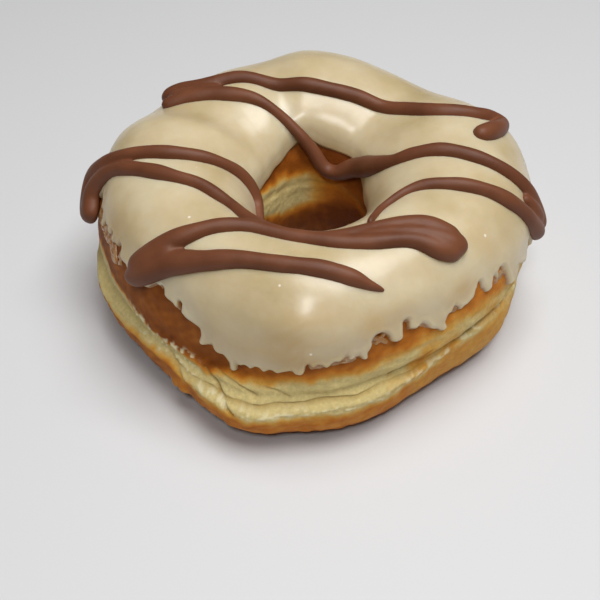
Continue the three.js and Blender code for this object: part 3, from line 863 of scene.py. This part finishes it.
# %% Caramel icing: its colours
cloudy = add(tree, "ShaderNodeValToRGB", {"Fac": clouds}, stops=[
    (0.3, "bba77c"), (0.5, "cab894"), (0.7, "d5c8a8"),
])
streaky = add(tree, "ShaderNodeValToRGB", {"Fac": streaks}, stops=[
    (0.38, "8f4f24"), (0.5, "ad7443"), (0.64, "dcc4a0"),
])
through_and_shade = add(tree, "ShaderNodeMath", {0: marks["sheer_and_shade"], 1: 0.75}, operation="MULTIPLY")
icing_colour = cloudy.outputs["Color"]
# golden where the crust shows through and as painted shade on the low front, streaky in films, brown at
# thin edges, pale on grains
for factor, colour in (
    (through_and_shade.outputs[0], linear("b8924f")),
    (marks["film"], streaky.outputs["Color"]),
    (marks["thin"], linear("a8763e")),
    (grains.outputs[0], linear("f1eadb")),
):
    icing_colour = add(tree, "ShaderNodeMix", {
        0: factor, 6: icing_colour, 7: colour,
    }, data_type="RGBA").outputs[2]
tree.links.new(icing_colour, shader.inputs["Base Color"])
print("icing material", len(tree.nodes), "nodes")

# %% Caramel icing: its surface
ripple = add(tree, "ShaderNodeBump", {"Height": ripples, "Strength": 0.12, "Distance": 1 * MM})
tree.links.new(ripple.outputs["Normal"], shader.inputs["Normal"])
shader.inputs["Roughness"].default_value = 0.38
shader.inputs["IOR"].default_value = 1.46
shader.inputs["Coat Weight"].default_value = 0.5
shader.inputs["Coat Roughness"].default_value = 0.24
shader.inputs["Subsurface Weight"].default_value = 0.6
shader.inputs["Subsurface Radius"].default_value = (1.0, 0.75, 0.4)
shader.inputs["Subsurface Scale"].default_value = 4 * MM
coat.data.materials.append(material)
print("icing wears", material.name)

# %% [markdown]
# ## The chocolate drizzle
#
# The chocolate is piped as one soft rope that goes to and fro over the ring, folds back on
# itself at the ends, sags into the hole where nothing holds it up, and hangs a little over the
# sides. A curve with a round bevel would lie on the icing like a hose. Here each pass is made by
# setting circles along its path, flat side down, and bridging them. Where passes touch they
# melt into each other, so all of them are then remeshed as one skin and smoothed, which gives
# the soft joints that separate tubes wouldn't have.

# %% Path of the drizzle
# each pass in points of x, y, z and half width in mm, and at some how far it stands off
DRIZZLE = [
    # from a loop at the right over the back to the back left
    [(36, 3.2, 38.1, 2), (38, 5, 37.4, 2.2), (40.6, 8.6, 35.9, 2.1), (41.7, 12.2, 34.6, 2.1),
     (39.6, 12.7, 36, 1.9), (35.7, 10.9, 37.8, 1.9), (28.4, 11.4, 38.7, 1.9), (20.3, 15, 38.1, 1.8),
     (12, 18.7, 37.4, 1.7), (3.4, 20.5, 38.5, 1.8), (-5.3, 21.9, 39.3, 1.7), (-14, 23.9, 38.6, 1.8),
     (-22.7, 23.1, 37.7, 2.1), (-27.5, 24.2, 36, 2.6), (-29.7, 24, 35.1, 2.8)],
    # back from there, down into the hole, and up over the right side
    [(-30, 18.6, 36.9, 1.8), (-25.7, 19.3, 37.9, 2), (-18.2, 18.7, 38.4, 2), (-11.3, 17.2, 37.7, 1.6),
     (-5.2, 14.8, 35.4, 1.3), (-1.8, 13.1, 32.6, 1.4), (1.7, 11.6, 28.5, 1.5), (4.4, 10.1, 24.8, 1.6),
     (7.2, 8.9, 24.4, 1.7), (10.3, 7.2, 26.9, 2.2), (12.6, 5, 28.8, 2.5), (14.9, 2.2, 31, 2.2),
     (18.5, -1.2, 34.6, 1.5), (22.3, -2.4, 37, 1.7), (27.9, -3.4, 38.5, 1.8), (33.6, -5.3, 38.3, 1.7),
     (38.6, -6.6, 36.6, 1.6), (42.8, -7, 33.4, 1.7), (46.7, -7, 27.9, 1.9), (48, -7.4, 23.8, 2.2)],
    # back up the right side to the front edge of the hole
    [(47.3, -10, 23.6, 2.1), (44.8, -12.4, 27.7, 2), (40, -14.1, 33.4, 1.8), (34.6, -14.4, 36.7, 1.7),
     (28.7, -14.1, 38.1, 1.6), (23.1, -13.8, 38, 1.4), (19.4, -14.6, 37.8, 1.2),
     (16.2, -16.8, 37.4, 1), (14.3, -18.7, 37, 0.9), (13.1, -21, 37.2, 0.8), (12.1, -23.6, 37.3, 0.8)],
    # through the hole and out over the left side
    [(8.9, -17, 30.2, 0.7), (7.6, -15, 27, 1), (3, -16.6, 24.5, 1.2), (-3, -16, 24.5, 1.2),
     (-7.8, -12.5, 25.5, 1.1), (-9.6, -8, 25.5, 1.3), (-10, -4.6, 26.6, 1.5), (-11.1, -3.2, 29.4, 1.6),
     (-13.4, -2.8, 32.7, 1.6), (-17.1, -3.3, 35.8, 1.5), (-22.9, -3.5, 37.8, 1.6),
     (-28.9, -2.9, 37.9, 1.7), (-35.2, -1.5, 36, 1.7), (-40.5, 0.8, 31.7, 2.1),
     (-43.2, 2.2, 27.2, 2.7), (-44.2, -1, 24.2, 2.7), (-43.4, -4.6, 23.8, 2.6)],
    # back up the left side and along the front to the right
    [(-43.4, -5.2, 24.6, 2.3), (-43.1, -2.4, 26.6, 2.4), (-41.4, -2.2, 30.2, 2.1),
     (-37.5, -4, 34.2, 1.8), (-31.5, -7.6, 37, 1.9), (-25.3, -10.8, 37.8, 1.6), (-19.4, -13.3, 37.3, 1.5),
     (-14.1, -17.4, 36.4, 1.4), (-10.1, -22.8, 36.7, 1.5), (-5.6, -26.4, 36.9, 1.6),
     (-0.1, -28.1, 37, 1.5), (5.5, -28.7, 37.2, 1.8), (11.9, -26.8, 37.5, 1.8), (19.3, -25.6, 37.7, 1.9),
     (22.9, -25.9, 37.2, 2.2), (26.2, -27, 35.8, 2.3)],
    # back along the front to the left
    [(26.4, -29.4, 34.5, 2.4), (24, -29.8, 35.4, 2.3), (19, -29.3, 37, 1.8), (11.7, -30.1, 37.4, 1.7),
     (5.4, -29.7, 37.3, 1.7), (-0.1, -28.3, 37, 1.6), (-5.6, -26.8, 36.9, 1.6), (-10.2, -25.3, 37, 1.8),
     (-15.6, -25.3, 37.1, 1.8), (-21.1, -26.2, 36.1, 2), (-26.5, -26.7, 33.4, 2.3),
     (-31, -26.5, 29.2, 2.4)],
    # a last time to the right, where it tails off
    [(-31.7, -27.2, 26.9, 2.4), (-29.4, -28.4, 28.8, 2.5), (-23.9, -30.2, 32.5, 2.5),
     (-18.1, -31.9, 34.5, 2.1), (-11.7, -33.2, 35.9, 1.9), (-4.5, -35, 36.4, 1.7), (2.6, -36.2, 36.3, 1.8),
     (7.9, -37.3, 35.5, 1.8), (11.1, -38.1, 34.4, 1.1), (13.6, -38.4, 33.4, 0.5)],
    # short ones that fill the folds at the left, the front, the right and the back left
    [(-30.8, -27, 28.8, 2.6), (-25, -28.2, 33.4, 2.2)],
    [(3, -28.9, 37.6, 0.9), (9.5, -28.6, 37.8, 1.3), (16, -27.9, 37.6, 1.6), (21.5, -27.7, 37, 1.9),
     (25.8, -28.2, 35.5, 2.7), (27.2, -28.3, 34.9, 2.6)],
    [(43.8, -9.8, 31.6, 1.1), (45.4, -9.5, 29.2, 1.8, 0.1), (46.8, -9.1, 26.6, 2.1, 0.2)],
    [(-28.5, 21, 36.9, 2.2), (-23.6, 21.2, 38.1, 1.8), (-19, 21.1, 38.6, 1.2)],
]
print(len(DRIZZLE), "passes with", sum(len(points) for points in DRIZZLE), "points")


# %% Even steps along a pass
STEP = 0.7
FINE_STEPS = 20
PAST_END = 0.85


def pushed_out(last, before):
    """The last knot of a path, moved on past its end in proportion to its half width."""
    way = (last - before)[:3]
    moved = last.copy()
    moved[:3] += way / np.linalg.norm(way) * PAST_END * last[3]
    return moved


def smooth_path(waypoints):
    """Even steps along a smooth curve through the waypoints and a little past both ends."""
    knots = np.array([list(w) + [0] * (5 - len(w)) for w in waypoints], float)
    knots = np.vstack([pushed_out(*knots[:2]), knots, pushed_out(*knots[:-3:-1])])
    knots = np.vstack([2 * knots[0] - knots[1], knots, 2 * knots[-1] - knots[-2]])
    fine = []
    for four in zip(knots, knots[1:], knots[2:], knots[3:]):
        for t in np.linspace(0, 1, FINE_STEPS, endpoint=False):
            fine.append(spline(*four, t))
    fine = np.array(fine + [knots[-2]])
    lengths = np.r_[0, np.cumsum(np.linalg.norm(np.diff(fine[:, :3], axis=0), axis=1))]
    even = np.linspace(0, lengths[-1], int(lengths[-1] / STEP) + 1)
    return np.stack([np.interp(even, lengths, column) for column in fine.T], 1)


print("first pass in", len(smooth_path(DRIZZLE[0])), "steps of about", STEP, "mm")


# %% Where a rope lies on the icing
SINK = 0.3


def rope_axes(path, wobble):
    """The points on the icing under a path, and the ways across, up and ahead at each."""
    around, section = np.array([nearest_place(p[:3]) for p in path]).T
    low = skin(around, section, ICING_THICKNESS - SINK + path[:, 4] + wobble)
    outward = skin(around, section, ICING_THICKNESS + 5) - low
    ahead = np.gradient(low, axis=0)
    ahead /= np.linalg.norm(ahead, axis=1)[:, None]
    side = np.cross(ahead, outward)
    side /= np.linalg.norm(side, axis=1)[:, None]
    return low, side, np.cross(side, ahead), ahead


# %% Ropes of chocolate
SIDES = 18
LEAST_RISE = 0.7
RISE_PER_HALF_WIDTH = 0.75
ROOT_DEPTH = 1.1
FIRST_ROPE_SEED = 40


def rope(waypoints, seed):
    """One pass of chocolate: a closed rope mesh that lies on the icing."""
    path = smooth_path(waypoints)
    wobble = 0.06 * waves(path[:, :3], 4, seed)
    bm = bmesh.new()
    rings = []
    for i, (low, *axes) in enumerate(zip(*rope_axes(path, wobble))):
        half_width, stand_off = path[i, 3:]
        # the rope swells from nothing at its tip to full width over about one half width
        from_tip = min(i, len(path) - 1 - i) * STEP
        end = float(quarter_round(from_tip + 0.1, half_width * 1.1))
        half = half_width * (1 + wobble[i]) * end
        rise = (LEAST_RISE + RISE_PER_HALF_WIDTH * half_width) * (0.35 + 0.65 * end)
        root = (ROOT_DEPTH + stand_off) * (0.5 + 0.5 * end)
        placed = Matrix(axes).transposed().to_4x4()
        placed.translation = Vector(low)
        ring = bmesh.ops.create_circle(bm, segments=SIDES, radius=1)["verts"]
        for v in ring:
            v.co.x *= half
            v.co.y *= rise if v.co.y > 0 else root
        bmesh.ops.transform(bm, matrix=placed, verts=ring)
        rings.append(list(dict.fromkeys(e for v in ring for e in v.link_edges)))
    for one, other in zip(rings, rings[1:]):
        bmesh.ops.bridge_loops(bm, edges=one + other)
    for ring in (rings[0], rings[-1]):
        bmesh.ops.contextual_create(bm, geom=ring)
    bmesh.ops.scale(bm, vec=(MM, MM, MM), verts=bm.verts)
    bmesh.ops.recalc_face_normals(bm, faces=bm.faces)
    mesh = bpy.data.meshes.new("rope")
    bm.to_mesh(mesh)
    bm.free()
    return mesh


bm = bmesh.new()
for i, waypoints in enumerate(DRIZZLE):
    bm.from_mesh(rope(waypoints, FIRST_ROPE_SEED + i))
rope_mesh = bpy.data.meshes.new("ropes")
bm.to_mesh(rope_mesh)
bm.free()
print("ropes", len(DRIZZLE), "with", len(rope_mesh.vertices), "vertices")

# %% Melted into one
VOXEL = 0.3
melting = bpy.data.objects.new("melting", rope_mesh)
bpy.context.scene.collection.objects.link(melting)
remesh = melting.modifiers.new("melt", "REMESH")
remesh.mode = "VOXEL"
remesh.voxel_size = VOXEL * MM
soften = melting.modifiers.new("soften", "SMOOTH")
soften.factor = 0.5
soften.iterations = 12
in_full = melting.evaluated_get(bpy.context.evaluated_depsgraph_get())
melted = bpy.data.meshes.new_from_object(in_full)
bpy.data.objects.remove(melting)
melted.name = "chocolate_drizzle"
melted.polygons.foreach_set("use_smooth", [True] * len(melted.polygons))
drizzle = bpy.data.objects.new("chocolate_drizzle", melted)
bpy.context.scene.collection.objects.link(drizzle)
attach(drizzle, "root")
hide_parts("icing")
print("drizzle", sum(len(p.vertices) - 2 for p in melted.polygons), "triangles")

# %% [markdown]
# ### How the chocolate looks
#
# Set milk chocolate is smooth with a soft sheen. Cocoa butter makes it a greyish brown rather
# than a red one, and its highlights are broad and pale. A glossier shader would look wet, so
# the roughness is high and the gloss weak, and a faint uneven grain about half a millimetre
# across, as the flow leaves it, breaks the sheen up.

# %% Milk chocolate material
material, tree, shader = new_material("set milk chocolate")
place = add(tree, "ShaderNodeTexCoord").outputs["Object"]
# shades about 8 mm across, and a grain about 0.6 mm across
shades, flow_grain = (
    add(tree, "ShaderNodeTexNoise", {
        "Vector": place, "Scale": per_mm * PER_MM, "Detail": detail, "Roughness": roughness,
    }).outputs["Fac"]
    for per_mm, detail, roughness in ((0.12, 2, 0.55), (1.6, 3, 0.5))
)
cocoa = add(tree, "ShaderNodeValToRGB", {"Fac": shades}, stops=[(0.3, "613824"), (0.7, "75472f")])
tree.links.new(cocoa.outputs["Color"], shader.inputs["Base Color"])
grain = add(tree, "ShaderNodeBump", {"Height": flow_grain, "Strength": 0.18, "Distance": 0.2 * MM})
tree.links.new(grain.outputs["Normal"], shader.inputs["Normal"])
shader.inputs["Roughness"].default_value = 0.46
shader.inputs["Specular IOR Level"].default_value = 0.24
shader.inputs["IOR"].default_value = 1.48
shader.inputs["Subsurface Weight"].default_value = 0.05
shader.inputs["Subsurface Radius"].default_value = (1.0, 0.5, 0.3)
shader.inputs["Subsurface Scale"].default_value = 0.8 * MM
drizzle.data.materials.append(material)
print("drizzle wears", material.name)
